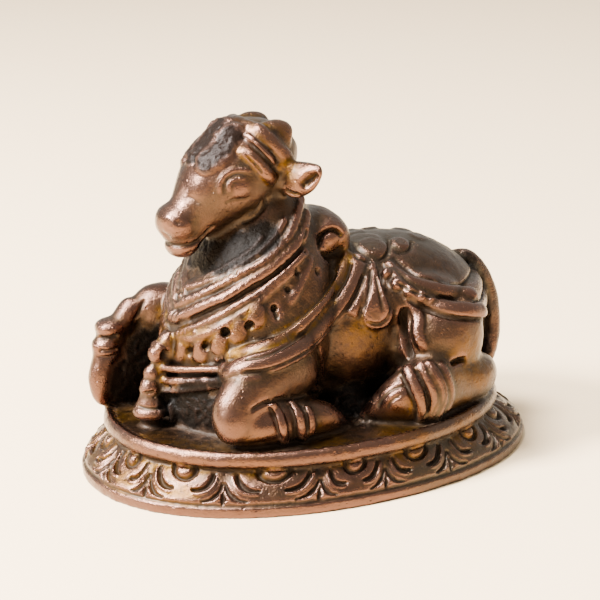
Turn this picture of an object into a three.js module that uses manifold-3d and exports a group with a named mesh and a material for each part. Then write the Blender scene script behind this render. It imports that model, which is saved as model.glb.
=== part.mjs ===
// A small cast nandi: a zebu bull lying on an oval plinth, its head up and its right foreleg raised.
// The bull, its collars, bells, saddle cloth and the petalled plinth are one solid bronze casting.
// Millimetres. X runs along the bull from its nose (-X) to its tail (+X), +Y is its right side, +Z is up,
// and the origin is the centre of the plinth's underside.
import * as THREE from "three";
import { mergeVertices } from "three/addons/utils/BufferGeometryUtils.js";
import Module from "manifold-3d";

const wasm = await Module();
wasm.setup();

// Driving dimensions of the plinth.
const plinthLength = 76;
const plinthWidth = 53.2;
const plateHeight = 8.8;
const lipHeight = 2.1;
const rimHeight = 2.1;
const rimRise = 0.5;
const rimOverhang = 1.2;
const rimWidth = 0.9;
const flankLean = 3.1;
const endLean = 5.9;
const rimShift = -0.8;
const ovalPower = 2.13;
const petalCount = 17;
const firstPetal = 0.038;
const petalRelief = 0.7;
const petalInset = 0.4;

// The bull's height over the plate. Every place and size on the bull below is written as it measures on
// a bull 47.6 mm tall, counted from the middle of the plate, and follows this height.
const bullHeight = 47.6;
const share = bullHeight / 47.6;

const bronze = new THREE.MeshStandardMaterial({ color: 0x7a5236, roughness: 0.38, metalness: 0.9 });

// A point on the bull, from its written place.
function place(x, y, z) {
  return new THREE.Vector3(x * share, y * share, plateHeight + z * share);
}

// A closed geometry as a solid that can be joined and cut.
function solid(geometry) {
  const bare = geometry.clone();
  bare.deleteAttribute("normal");
  bare.deleteAttribute("uv");
  const merged = mergeVertices(bare, 1e-4);
  return new wasm.Manifold(new wasm.Mesh({
    numProp: 3,
    vertProperties: merged.attributes.position.array,
    triVerts: new Uint32Array(merged.index.array),
  }));
}

// The triangles of a solid as a three.js geometry.
function geometryOf(made) {
  const mesh = made.getMesh();
  const geometry = new THREE.BufferGeometry();
  geometry.setAttribute("position", new THREE.BufferAttribute(new Float32Array(mesh.vertProperties), 3));
  geometry.setIndex(new THREE.BufferAttribute(new Uint32Array(mesh.triVerts), 1));
  return geometry;
}

function joined(solids) {
  return solids.reduce((whole, next) => whole.add(next));
}

// A piece of the bull together with its mirror image on the other side.
function bothSides(made) {
  const image = geometryOf(made).scale(1, -1, 1);
  image.index.array.reverse();
  return made.add(solid(image));
}

// Moves every vertex of a geometry to where its uv coordinates say.
function bent(geometry, where) {
  const { position, uv } = geometry.attributes;
  for (let i = 0; i < position.count; i++) {
    const p = where(uv.getX(i), uv.getY(i));
    position.setXYZ(i, p.x, p.y, p.z);
  }
  return geometry;
}

// A ball or egg of metal: its centre, its half-sizes and its tilt about Y in degrees.
function ball(centre, halfSizes, tilt = 0, { sides = 8, steps = 5 } = {}) {
  const egg = new THREE.SphereGeometry(1, sides, steps);
  egg.scale(...halfSizes.map((size) => size * share));
  egg.rotateY(THREE.MathUtils.degToRad(tilt));
  egg.translate(...place(...centre));
  return solid(egg);
}

// How thick a closed body is at a share of its length, from 1 in the middle to 0 at both ends.
// A higher `blunt` squares off the ends.
function endRound(along, blunt) {
  return Math.max(0, 1 - Math.abs(2 * along - 1) ** blunt) ** (1 / blunt);
}

// A limb of the bull, or a lock, cord or tail on it: an oval section along a smooth line.
// Each stop is [x, y, z, half-width, half-height], and the half-height is measured towards `up`.
function limb(stops, { up = [0, 0, 1], blunt = 3, sides = 8, steps = 6 } = {}) {
  const line = new THREE.CatmullRomCurve3(stops.map(([x, y, z]) => place(x, y, z)), false, "centripetal");
  const sections = new THREE.CatmullRomCurve3(
    stops.map(([, , , wide, high = wide], i) => new THREE.Vector3(wide * share, high * share, i)),
    false, "catmullrom");
  const upward = new THREE.Vector3(...up);
  return solid(bent(new THREE.SphereGeometry(1, sides, steps), (u, v) => {
    const t = (1 + Math.cos(Math.PI * v)) / 2;
    const round = endRound(t, blunt);
    const along = line.getTangent(t);
    const side = new THREE.Vector3().crossVectors(along, upward).normalize();
    const top = new THREE.Vector3().crossVectors(side, along);
    const section = sections.getPoint(t);
    const turn = 2 * Math.PI * u;
    return line.getPoint(t)
      .addScaledVector(side, Math.cos(turn) * section.x * round)
      .addScaledVector(top, Math.sin(turn) * section.y * round);
  }));
}

// Finds the skin under a strap: where a line from `inside` towards `outward` leaves the flesh for good.
function skinFinder(flesh) {
  const skin = new THREE.Mesh(geometryOf(flesh), new THREE.MeshBasicMaterial());
  const caster = new THREE.Raycaster();
  return (inside, outward) => {
    const normal = outward.clone().normalize();
    caster.set(inside.clone().addScaledVector(normal, 3 * bullHeight), normal.clone().negate());
    return { point: caster.intersectObject(skin)[0].point, normal };
  };
}

// An open strap laid on the skin. Each stop is [x, y, z, half-width, half-height], near the skin, and is
// moved on to it along the line from `axis`, a function of the place.
function strap(skinAt, stops, { axis, blunt = 4, sides = 4, steps = 5 }) {
  const path = new THREE.CatmullRomCurve3(stops.map(([x, y, z]) => place(x, y, z)), false, "centripetal");
  const sections = new THREE.CatmullRomCurve3(
    stops.map(([, , , wide, high], i) => new THREE.Vector3(wide * share, high * share, i)),
    false, "catmullrom");
  return solid(bent(new THREE.SphereGeometry(1, sides, steps), (u, v) => {
    const t = (1 + Math.cos(Math.PI * v)) / 2;
    const round = endRound(t, blunt);
    const near = path.getPoint(t);
    const core = axis(near);
    const { point, normal } = skinAt(core, near.clone().sub(core));
    const side = new THREE.Vector3().crossVectors(path.getTangent(t), normal).normalize();
    const section = sections.getPoint(t);
    const turn = 2 * Math.PI * u;
    return point
      .addScaledVector(side, Math.cos(turn) * section.x * round)
      .addScaledVector(normal, Math.sin(turn) * section.y * round);
  }));
}

// The place on the skin at each turn of a slanting ring round the neck. `back` and `front` are where the ring
// crosses the middle plane, as [x, z], and `lift` raises its sides.
function ringOnSkin(skinAt, { back, front, lift }) {
  const rear = place(back[0], 0, back[1]);
  const fore = place(front[0], 0, front[1]);
  const middle = rear.clone().lerp(fore, 0.5);
  const rearward = rear.clone().sub(fore).normalize();
  const across = new THREE.Vector3(0, 1, 0);
  const upward = new THREE.Vector3().crossVectors(rearward, across);
  return (turns) => {
    const turn = 2 * Math.PI * turns;
    const centre = middle.clone().addScaledVector(upward, lift * share * Math.sin(turn) ** 2);
    const outward = rearward.clone().multiplyScalar(Math.cos(turn)).addScaledVector(across, Math.sin(turn));
    return skinAt(centre, outward);
  };
}

// A closed band on such a ring.
function collar(skinAt, { wide, high, sides = 4, steps = 13, ...ring }) {
  const stationAt = ringOnSkin(skinAt, ring);
  const line = new THREE.CatmullRomCurve3(
    Array.from({ length: steps }, (_, i) => stationAt(i / steps).point), true, "centripetal");
  return solid(bent(new THREE.TorusGeometry(1, 0.5, sides, steps), (u, v) => {
    const { point, normal } = stationAt(u % 1);
    const side = new THREE.Vector3().crossVectors(line.getTangent(u % 1), normal).normalize();
    const turn = 2 * Math.PI * v;
    return point
      .addScaledVector(side, Math.cos(turn) * wide * share)
      .addScaledVector(normal, Math.sin(turn) * high * share);
  }));
}

// A place on the plinth's wall: how far round in turns, its height, the share of the lean between the lip (0)
// and the rim (1), and the distance out of the sloping face.
function onWall(turns, z, lean, out) {
  const turn = 2 * Math.PI * turns;
  const oval = (c) => Math.sign(c) * Math.abs(c) ** (2 / ovalPower);
  return new THREE.Vector3(
    rimShift * lean + (plinthLength / 2 - lean * endLean + out) * oval(Math.cos(turn)),
    (plinthWidth / 2 - lean * flankLean + out) * oval(Math.sin(turn)),
    z);
}

// How far each place on a petal stands out, as a share of the relief: rows from the rim down, and columns
// from the groove between two petals to the middle of one. The raised edge curls round a hollow.
const petalForm = [
  [-0.9, 0.9, -0.1, -0.3],
  [-0.8, -0.1, 0.9, 0.9],
];
const petalSteps = 2 * (petalForm[0].length - 1);

// The plinth: an oval foot with a plain lip, a sloping band of lotus petals, and a rounded rim. The petals
// are spaced evenly along the oval, and `firstPetal` is the share of it before the first of them.
function plinth() {
  const bandHeight = plateHeight - rimHeight - lipHeight;
  const onBand = (part) => lipHeight + part * bandHeight;
  // Each ring is [height, share of the lean, distance out of the sloping face, row of the petals' form].
  const rings = [
    [0, 0, 0],
    [lipHeight, 0, 0],
    [onBand(0.1), 0.1, -petalInset],
    [onBand(0.34), 0.34, 0, 1],
    [onBand(0.8), 0.8, 0, 0],
    [onBand(1), 1, rimOverhang * 0.9],
    [plateHeight - rimHeight * 0.25, 1, rimOverhang],
    [plateHeight + rimRise, 1, 0.1],
    [plateHeight, 1, -rimWidth],
  ];
  const profile = [
    new THREE.Vector2(0, 0),
    ...rings.map(([z], i) => new THREE.Vector2(i + 1, z)),
    new THREE.Vector2(0, plateHeight),
  ];
  const outline = new THREE.EllipseCurve(0, 0, plinthLength / 2, plinthWidth / 2);
  return solid(bent(new THREE.LatheGeometry(profile, petalSteps * petalCount), (u, v) => {
    const ring = rings[Math.round(v * (profile.length - 1)) - 1];
    if (!ring) return new THREE.Vector3(0, 0, v * plateHeight);
    const [z, lean, out, row] = ring;
    const step = Math.round(u * petalSteps * petalCount) % petalSteps;
    const carved = row === undefined ? 0 : petalForm[row][Math.min(step, petalSteps - step)];
    return onWall(outline.getUtoTmapping((u + firstPetal) % 1), z, lean, out + carved * petalRelief);
  }));
}

// The head's own axis slopes from the poll, between the horns, down to the muzzle. A place on the head is
// counted along that axis, square above it, and out to the side.
const poll = [-8, 0, 41.7];
const faceSlope = THREE.MathUtils.degToRad(34.1);

function onHead(along, above, y = 0) {
  return [
    poll[0] - along * Math.cos(faceSlope) - above * Math.sin(faceSlope),
    y,
    poll[2] - along * Math.sin(faceSlope) + above * Math.cos(faceSlope),
  ];
}

// The point of the head's axis beside a place on it.
function headAxis(near) {
  const back = place(...poll).sub(near).divideScalar(share);
  return place(...onHead(back.x * Math.cos(faceSlope) + back.z * Math.sin(faceSlope), 0));
}

function head() {
  // Each section is [along, top, bottom, half-width].
  const skull = limb([
    [-4.4, 3.0, -5.4, 5.0], [-0.6, 5.4, -6.8, 6.5], [3.4, 6.8, -6.6, 7.2], [7.6, 7.3, -6.3, 7.2],
    [11, 6.2, -5.9, 6.3], [14, 4.5, -5.3, 4.9], [16.6, 3.3, -4.9, 4.1], [20, 2.6, -4.2, 3.6],
  ].map(([along, top, bottom, wide]) => [...onHead(along, (top + bottom) / 2), wide, (top - bottom) / 2]),
  { blunt: 4, sides: 10, steps: 7 });
  const tilt = -THREE.MathUtils.radToDeg(faceSlope);
  const nose = ball(onHead(18.3, 0.4), [2.9, 4.1, 3.2], tilt, { sides: 8, steps: 4 });
  const chin = ball(onHead(19.0, -2.8), [2.9, 3.5, 2.4], tilt, { sides: 7, steps: 4 });
  const eye = ball(onHead(9.0, 0.6, -6.2), [2.2, 1.5, 1.4], tilt, { sides: 5, steps: 4 });
  const forelock = limb([[-11, 0, 46, 2.6, 1.9], [-14.6, 0, 44.6, 3.6, 2.0], [-17.6, 0, 41, 3.0, 1.4]]);
  const horn = limb([
    [-12, -3.1, 43.2, 1.4, 1.2], [-10.2, -3.4, 43.6, 2, 2.7], [-8.4, -3.6, 43.3, 2.3, 3.6],
    [-6.1, -3.7, 42.4, 2, 3.5],
  ], { blunt: 6, sides: 6, steps: 5 });
  const ear = limb(
    [[-7.6, -4.6, 37.6, 1.9, 2.6], [-6.2, -8.4, 38.2, 1.8, 2.9], [-4.7, -12.4, 40.4, 0.9, 1.5]],
    { up: [0.2, 0, 1], sides: 6, steps: 5 });
  const earHollow = limb(
    [[-7.8, -8.2, 36.9, 0.9, 1.3], [-6.9, -10, 37.9, 0.9, 1.5], [-5.9, -11.8, 39.4, 0.6, 0.8]],
    { up: [0.2, 0, 1], sides: 4, steps: 3 });
  const skinAt = skinFinder(skull);
  const laid = (...stops) => strap(skinAt, stops, { axis: headAxis });
  const upperLock = laid(
    [-12.4, -1.4, 45.6, 1.1, 1], [-10.6, -4.4, 43, 1.2, 1.1], [-8.4, -6.6, 39.8, 1, 0.9]);
  const lowerLock = laid([-14.4, -3.4, 43, 1.1, 0.9], [-12.2, -5.8, 40.6, 1.2, 1], [-9.8, -7, 38.8, 1, 0.8]);
  const lid = laid([-15.8, -6.2, 40.4, 0.5, 0.7], [-18.4, -6, 39, 0.6, 0.8], [-18.6, -5.8, 36.6, 0.5, 0.7]);
  const paired = [eye, lid, horn, upperLock, lowerLock, ear.subtract(earHollow)].map(bothSides);
  return joined([skull, nose, chin, forelock, ...paired]);
}

// The neck and chest, one thick column that leans forward and stands on the plate.
function neck() {
  return limb([
    [-10, 0, -3, 11.4, 12], [-10.8, 0, 9, 13.2, 14], [-10.2, 0, 15, 13.5, 13.4],
    [-9, 0, 20.5, 12.2, 12], [-8.6, 0, 26, 10.3, 10.2], [-8.4, 0, 31, 7.9, 7.8], [-8.4, 0, 36.4, 6.2, 6.6],
  ], { up: [1, 0, 0], blunt: 5, sides: 12, steps: 9 });
}

// The zebu's hump, curled over behind the neck into a roll across the back with a boss at each end.
function curledHump() {
  const crest = limb([[-6, 0, 28, 4.4, 2.4], [-2.6, 0, 29.8, 4.6, 2.2], [1, 0, 30, 4.2, 1.8]],
    { steps: 4 });
  const roll = limb([
    [1.2, -6.4, 26, 3.4, 3.4], [1, -3.4, 26.5, 4.4, 4.4], [0.9, 0, 26.6, 4.8, 4.9],
    [1, 3.4, 26.5, 4.4, 4.4], [1.2, 6.4, 26, 3.4, 3.4],
  ], { blunt: 7, steps: 7 });
  const boss = ball([1.4, 0, 26], [1.6, 7.2, 1.6], 0, { sides: 6, steps: 6 });
  return joined([crest, roll, boss]);
}

// The barrel of the body, with the rump.
function barrel() {
  return limb([
    [-8, 0, 12, 11, 12], [0, 0, 12.2, 13.4, 13.4], [8, 0, 12.2, 13.4, 13.4], [16, 0, 12, 13.8, 13.3],
    [22, 0, 10.8, 12.9, 11.9], [26.6, 0, 9.2, 9.6, 9.8], [32.2, 0, 7, 5, 6.6],
  ], { blunt: 3.4, sides: 12, steps: 8 });
}

// A band cast over the near side of a foot, from its top down to the plate. Each stop is [x, y, z].
function footBand(stops, wide, high) {
  return limb(stops.map((stop) => [...stop, wide, high]), { up: [0, -1, 0.3], blunt: 5, sides: 4, steps: 4 });
}

// The left haunch: the thigh, and the foot under it with its two bands and its hoof.
function haunch() {
  const thigh = limb([
    [10.2, -11.5, 16.5, 4.6, 5.5], [13, -12.8, 12.5, 6.2, 8], [18.2, -12.7, 9.5, 6.1, 9.1],
    [23.6, -10.6, 7.5, 4.8, 6],
  ], { up: [0.45, 0, 1], blunt: 2.6 });
  const foot = limb([
    [27, -11, 3.8, 3.4, 3.6], [22, -14, 3.8, 4.6, 4], [16, -16.6, 4.4, 3.8, 4.4],
    [11.5, -18.3, 4.8, 3.5, 5.3], [6.6, -17.6, 3.6, 3.2, 4.1], [2.6, -15.6, 1.6, 1.7, 1.9],
    [0.6, -14.4, 0.6, 0.6, 0.8],
  ], { blunt: 4, steps: 9 });
  const bands = [
    [[11.4, -15, 9.3], [10.9, -20.6, 7.9], [10.3, -22.2, 3], [10, -21.2, 0.2]],
    [[9.5, -14.8, 8.6], [8.2, -20.4, 7.4], [7.3, -22, 3], [6.7, -21, 0.2]],
  ].map((stops) => footBand(stops, 0.9, 1.2));
  return joined([thigh, foot, ...bands]);
}

// The left foreleg, folded flat with its knee forward and its hoof back, and three bands over the shank.
function foldedForeleg() {
  const upper = limb([
    [-6.6, -11.5, 9.6, 4, 5], [-13, -12.4, 9.8, 4.6, 5.8], [-18.6, -14.4, 7.8, 4, 4.6],
    [-23.8, -15.8, 4.6, 3.2, 3.4],
  ], { blunt: 5 });
  const knee = ball([-21.9, -15.6, 4.6], [3.4, 3.5, 3.9]);
  const shank = limb([
    [-23, -15.8, 3.3, 3.2, 3.2], [-15, -16.4, 3.2, 3.1, 3], [-8, -16.2, 2.8, 2.9, 2.8],
    [-4.6, -15.6, 1.6, 2.2, 1.7], [-1.6, -14.8, 0.3, 0.6, 0.6],
  ], { blunt: 5 });
  const bands = [[-15.4, 6.3], [-12.2, 6.2], [-9.4, 6]].map(([x, top]) => footBand(
    [[x, -13.2, top], [x + 0.4, -17.6, 0.95 * top], [x + 0.9, -19.8, 2.6], [x + 1.3, -18.9, 0.1]], 0.7, 0.8));
  return joined([upper, knee, shank, ...bands]);
}

// The right foreleg, raised with its knee high and its hoof on the rim, and two anklets. A wall of metal
// stays behind the shin.
function raisedForeleg() {
  const upper = limb([
    [-9, 10.4, 10.6, 6, 6], [-15, 11.6, 12, 5, 5], [-20, 12, 14.2, 4.4, 4.4], [-25, 12.2, 15.4, 3.6, 3.9],
  ]);
  const shin = limb([
    [-24.6, 12.2, 16.6, 2.8, 2.6], [-27.6, 12, 12.6, 2, 2], [-30, 11.8, 8.4, 2, 2.2],
    [-31.6, 11.3, 4.4, 2, 2], [-31.3, 10.8, 0.2, 1.5, 1.5],
  ], { up: [1, 0, 0], blunt: 4, steps: 7 });
  const web = limb([[-30.4, 11.3, 4.4, 1.2, 5], [-23, 11.4, 5.6, 1.8, 7.4], [-14, 11, 6, 2.4, 8]],
    { blunt: 5, sides: 6, steps: 4 });
  const anklets = [[-29.2, 12.6], [-30, 10]].map(([x, z]) =>
    ball([x, 11.9, z], [2.4, 2.6, 1.3], 0, { sides: 7, steps: 4 }));
  return joined([upper, shin, web, ...anklets]);
}

// The tail, laid down over the rump with its tuft on the plate. A low wall joins it to the rump.
function tail() {
  const rope = limb([
    [27.5, 0, 20, 1.3], [31.2, -0.8, 18.4, 1.4], [34.1, -1.6, 12.8, 1.5], [34.5, -2.2, 6.6, 1.6],
    [32.6, -3.4, 1.2, 1.9],
  ], { up: [0, 1, 0], blunt: 4, sides: 5, steps: 8 });
  const web = limb([
    [28, -0.4, 16.8, 0.8, 2.2], [31.6, -1, 11.2, 0.8, 2.4], [32, -1.8, 5.4, 0.8, 2.6],
    [31, -2.6, 1.6, 0.9, 2.4],
  ], { up: [1, 0, 0], blunt: 5, sides: 5, steps: 4 });
  return rope.add(web);
}

// Two ropes and the hem of the collar cloth round the neck, and the broad harness round the shoulders.
function neckDress(skinAt) {
  return joined([
    { back: [-1.4, 32.8], front: [-23, 19.9], lift: 2, wide: 0.8, high: 0.8 },
    { back: [-0.6, 31.2], front: [-24.2, 17.4], lift: 1.9, wide: 1.1, high: 1 },
    { back: [0.8, 28.8], front: [-25.4, 14.8], lift: 1.6, wide: 0.7, high: 0.6 },
    { back: [5, 25.6], front: [-25.6, 8.8], lift: 0.4, wide: 3, high: 1.2, sides: 6 },
  ].map((band) => collar(skinAt, band)));
}

// The scallops on the edge of the collar cloth, in a row from the breast round to each shoulder. `sweep` is
// the share of the whole turn that the row takes.
function scallops(skinAt) {
  const count = 11;
  const sweep = 0.39;
  const radius = 1.6;
  const stationAt = ringOnSkin(skinAt, { back: [3.2, 23.6], front: [-26.2, 12.8], lift: 2.4 });
  return joined(Array.from({ length: count }, (_, i) => {
    const drop = new THREE.SphereGeometry(radius * share, 5, 3);
    drop.translate(...stationAt(0.5 + (i / (count - 1) - 0.5) * sweep).point);
    return solid(drop);
  }));
}

// The string of beads down the breast, and the bell that stands on the plate at its foot.
function pendant(skinAt) {
  const bead = (point, radius) => {
    const round = new THREE.SphereGeometry(radius * share, 5, 4);
    round.translate(...point);
    return solid(round);
  };
  const forward = new THREE.Vector3(-1, 0, 0);
  const onBreast = [[20.2, 1.4], [17, 1.4]].map(([z, radius]) =>
    bead(skinAt(place(-8, 0, z), forward).point, radius));
  const hanging = [[-26.4, 11.3, 1.6], [-27.4, 8.2, 1.6]].map(([x, z, radius]) =>
    bead(place(x, 0, z), radius));
  const stem = limb([[-24.2, 0, 14, 1.6, 1.6], [-26, 0, 8, 1.5, 1.8], [-27, 0, 2, 1.2, 1.6]],
    { up: [1, 0, 0], blunt: 5, sides: 6, steps: 4 });
  const bell = new THREE.LatheGeometry([
    [0, -0.3], [1.6, -0.3], [1.6, 1], [2.8, 1.6], [2.8, 2.5], [1.9, 4.2], [1.5, 5.2], [1.8, 6],
    [1.5, 7], [0, 7.8],
  ].map(([radius, z]) => new THREE.Vector2(radius * share, z * share)), 7);
  bell.rotateX(Math.PI / 2);
  bell.translate(...place(-28.2, 0, 0));
  return joined([...onBreast, ...hanging, stem, solid(bell)]);
}

// Three cords that run from the string of beads back to the folded leg, under the breast, and the wall of
// metal behind them.
function breastCords() {
  const cords = [[8.4, 0.2], [6.6, 0.2], [4.8, -1]].map(([z, drop]) => limb([
    [-27, 0, z, 0.65], [-25, -5, z - 0.2 * drop, 0.75], [-20.6, -11.4, z - drop, 0.7],
  ], { blunt: 5, sides: 4, steps: 4 }));
  const wall = limb([[-25, -0.6, 3, 1.4, 5], [-22.2, -6.2, 3, 1.6, 5.4], [-18.6, -11, 3, 1.8, 5.4]],
    { blunt: 5, sides: 5, steps: 3 });
  return joined([...cords, wall]);
}

// The saddle cloth: a skin over the back and rump, cut off along its hem, with a roll on the hem and
// another above it. The hem's stops are [x, z].
const hemLine = [[5.4, 24], [7.4, 20.6], [10, 18.6], [14.9, 16.6], [21, 14.6], [27.6, 12.8], [33, 12]];
const clothThickness = 0.5;

function saddleCloth(skinAt) {
  const cover = limb([
    [2, 12.2, 13.5, 13.4], [8, 12.2, 13.5, 13.4], [16, 12, 14, 13.3], [22, 10.8, 13.1, 11.9],
    [26.8, 9.2, 10, 9.8], [32.4, 7, 5.4, 6.6],
  ].map(([x, z, wide, high]) => [x, 0, z, wide + clothThickness, high + clothThickness]),
  { blunt: 3.4, sides: 12, steps: 7 });
  const clearOfBack = 32 * share;
  const clearOfSide = 20 * share;
  const cloth = new THREE.Shape();
  cloth.moveTo(hemLine[0][0] * share, clearOfBack);
  cloth.splineThru(hemLine.map(([x, z]) => new THREE.Vector2(x * share, z * share)));
  cloth.lineTo(hemLine.at(-1)[0] * share, clearOfBack);
  const block = new THREE.ExtrudeGeometry(cloth,
    { depth: 2 * clearOfSide, bevelEnabled: false, curveSegments: 1 });
  block.rotateX(Math.PI / 2);
  block.translate(0, clearOfSide, plateHeight);
  const rumpEnd = 24 * share;
  const axis = (near) => new THREE.Vector3(Math.min(near.x, rumpEnd), 0, plateHeight + 10 * share);
  const roll = (rise, wide, high) => strap(skinAt,
    hemLine.slice(0, -1).map(([x, z], i) => [x + 0.3 * rise, -14 + 1.2 * i, z + rise, wide, high]),
    { axis, steps: 8 });
  const hem = bothSides(roll(0, 1.1, 1.2));
  const upperRoll = bothSides(roll(2.5, 0.9, 1.3));
  return joined([cover.intersect(solid(block)), hem, upperRoll]);
}

// The ribbon leaves that hang from the saddle's front corner, and the tongues on its top.
function saddleLeaves(skinAt) {
  const laid = (...stops) => strap(skinAt, stops, {
    axis: (near) => new THREE.Vector3(near.x, 0, plateHeight + 12 * share),
    blunt: 3,
  });
  const broadLeaf = laid([6.2, -9, 23.2, 0.6, 0.6], [5, -13, 20.2, 1.2, 1], [3.2, -15, 16.8, 2.1, 1.1]);
  const narrowLeaf = laid(
    [5.6, -9, 23.2, 0.5, 0.5], [2.4, -13, 20.6, 0.8, 0.8], [-1.4, -15, 17.6, 1.2, 0.8]);
  const foreTongue = laid([6.4, -3, 25.8, 1.7, 0.7], [6.6, -6.4, 24.2, 1.9, 1], [6.8, -8.6, 22.6, 1.7, 0.8]);
  const rearTongue = laid([12.8, -2.6, 26.2, 1.4, 0.7], [13, -6, 24.6, 1.5, 1], [13.2, -7.8, 23, 1.4, 0.8]);
  return joined([broadLeaf, narrowLeaf, foreTongue, rearTongue].map(bothSides));
}

function bull() {
  const body = neck().add(barrel());
  const haunches = bothSides(haunch());
  const foreleg = foldedForeleg();
  const shoulderSkin = skinFinder(body.add(foreleg));
  const hipSkin = skinFinder(body.add(haunches));
  const flesh = [body, haunches, foreleg, raisedForeleg(), head(), curledHump(), tail()];
  const neckwear = [neckDress(shoulderSkin), scallops(shoulderSkin), pendant(shoulderSkin), breastCords()];
  const saddle = [saddleCloth(hipSkin), saddleLeaves(hipSkin)];
  return joined([...flesh, ...neckwear, ...saddle]);
}

// The bull starts inside the plinth's own metal, so that the underside stays flat.
function setInPlate(made) {
  const side = 4 * bullHeight;
  const block = new THREE.BoxGeometry(side, side, side);
  block.translate(0, 0, plateHeight / 2 + side / 2);
  return made.intersect(solid(block));
}

// A casting has no pockets shut inside it, so the small hollows between its parts are filled: a hollow's
// skin is a shell of its own, whose faces enclose less than nothing, and it is dropped.
function filled(geometry) {
  const { position } = geometry.attributes;
  const corners = geometry.index.array;
  const parent = Array.from({ length: position.count }, (_, i) => i);
  const shellOf = (vertex) => {
    let root = vertex;
    while (parent[root] !== root) root = parent[root];
    parent[vertex] = root;
    return root;
  };
  const faces = Array.from({ length: corners.length / 3 }, (_, i) => corners.subarray(3 * i, 3 * i + 3));
  for (const [a, b, c] of faces) {
    parent[shellOf(b)] = shellOf(a);
    parent[shellOf(c)] = shellOf(a);
  }
  const corner = (i) => new THREE.Vector3().fromBufferAttribute(position, i);
  const enclosed = new Map();
  for (const [a, b, c] of faces) {
    const shell = shellOf(a);
    enclosed.set(shell, (enclosed.get(shell) ?? 0) + corner(a).dot(corner(b).cross(corner(c))));
  }
  geometry.setIndex(faces.filter(([a]) => enclosed.get(shellOf(a)) > 0).flatMap((face) => [...face]));
  return geometry;
}

const casting = new THREE.Mesh(filled(geometryOf(plinth().add(setInPlate(bull())))), bronze);
casting.name = "nandi_bull_casting";

const figure = new THREE.Group();
figure.add(casting);

export default figure;
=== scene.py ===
# A small cast nandi: a garlanded zebu bull lying on an oval plinth banded with lotus petals.
# Lengths are in millimetres. X runs along the bull from its nose (-X) to its tail, and -Y is its left side.
import math
import bpy
import numpy as np
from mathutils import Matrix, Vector, noise
from mathutils.bvhtree import BVHTree
from mathutils.kdtree import KDTree


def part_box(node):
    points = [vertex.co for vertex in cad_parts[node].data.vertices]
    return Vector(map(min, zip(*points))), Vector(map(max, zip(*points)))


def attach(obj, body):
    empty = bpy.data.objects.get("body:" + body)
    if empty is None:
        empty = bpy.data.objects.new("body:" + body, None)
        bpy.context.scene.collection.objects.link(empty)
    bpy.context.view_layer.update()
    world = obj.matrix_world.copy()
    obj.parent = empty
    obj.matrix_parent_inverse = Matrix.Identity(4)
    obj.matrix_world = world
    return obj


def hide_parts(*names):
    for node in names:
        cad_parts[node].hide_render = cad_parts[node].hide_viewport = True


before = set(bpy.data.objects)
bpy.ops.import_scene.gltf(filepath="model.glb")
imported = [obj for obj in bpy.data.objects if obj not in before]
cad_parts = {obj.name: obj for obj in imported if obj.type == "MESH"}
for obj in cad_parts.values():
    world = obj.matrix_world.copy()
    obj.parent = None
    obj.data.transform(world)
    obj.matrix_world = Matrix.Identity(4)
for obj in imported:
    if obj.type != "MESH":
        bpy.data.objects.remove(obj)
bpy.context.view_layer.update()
bpy.ops.object.select_all(action="DESELECT")

# The camera stands at the bull's left front and looks a little down on it, from about 30 cm.
MM = 0.001
camera_place = Vector((-146.1, -250.5, 112.0))
camera_target = Vector((-1.5, 0.0, 25.0))
field_of_view = math.radians(18)
bpy.ops.object.camera_add(location=camera_place * MM)
camera = bpy.context.object
camera.name = "camera"
camera.rotation_euler = (camera_target - camera_place).to_track_quat("-Z", "Y").to_euler()
camera.data.angle = field_of_view
camera.data.clip_start = 0.01
camera.data.clip_end = 20
bpy.context.scene.camera = camera


# The plain pale table top under the figure: matt, very light cream.
def linear(hex_colour):
    """An sRGB hex colour as linear RGBA."""
    shares = [int(hex_colour[i:i + 2], 16) / 255 for i in (1, 3, 5)]
    return [s / 12.92 if s <= 0.04045 else ((s + 0.055) / 1.055) ** 2.4 for s in shares] + [1]


table_size = 3000
bpy.ops.mesh.primitive_plane_add(size=table_size * MM)
table_top = bpy.context.object
table_top.name = "table_top"
pale_paint = bpy.data.materials.new("pale_matt_paint")
pale_paint.use_nodes = True
paint_shader = pale_paint.node_tree.nodes["Principled BSDF"]
paint_shader.inputs["Base Color"].default_value = linear("#E9CDA4")
paint_shader.inputs["Roughness"].default_value = 0.6
table_top.data.materials.append(pale_paint)

# Soft studio light: a key lamp at the bull's front left, a broader one above it, and a pale room all round.
world = bpy.data.worlds.new("pale_room")
world.use_nodes = True
room = world.node_tree.nodes["Background"]
room.inputs["Color"].default_value = linear("#F4EEE4")
room.inputs["Strength"].default_value = 1.2
bpy.context.scene.world = world


def lamp(name, azimuth, elevation, distance, size, power):
    """A square lamp aimed at the figure, placed by its direction in degrees as the camera's is."""
    turn, rise = math.radians(azimuth), math.radians(elevation)
    out = Vector((math.sin(turn) * math.cos(rise), -math.cos(turn) * math.cos(rise), math.sin(rise)))
    bpy.ops.object.light_add(type="AREA", location=(camera_target + out * distance) * MM)
    made = bpy.context.object
    made.name = name
    made.rotation_euler = (-out).to_track_quat("-Z", "Y").to_euler()
    made.data.size = size * MM
    made.data.energy = power


lamp("key_lamp", -96, 38, 650, 170, 31.0)
lamp("top_lamp", -100, 66, 700, 240, 23.0)

# The figure is one solid casting of bronze. Its masses are put together first, each a ball or a drum drawn out
# along a smooth line, as the founder's wax was built up from rolls and lumps.
low, high = (np.array(corner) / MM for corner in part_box("nandi_bull_casting"))
plinth_length = high[0] - low[0]
plinth_width = high[1] - low[1]
plate_height = 8.8


def place(x, y, z):
    """A place on the bull, counted from the middle of the plate."""
    return np.array([x, y, z + plate_height])


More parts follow.
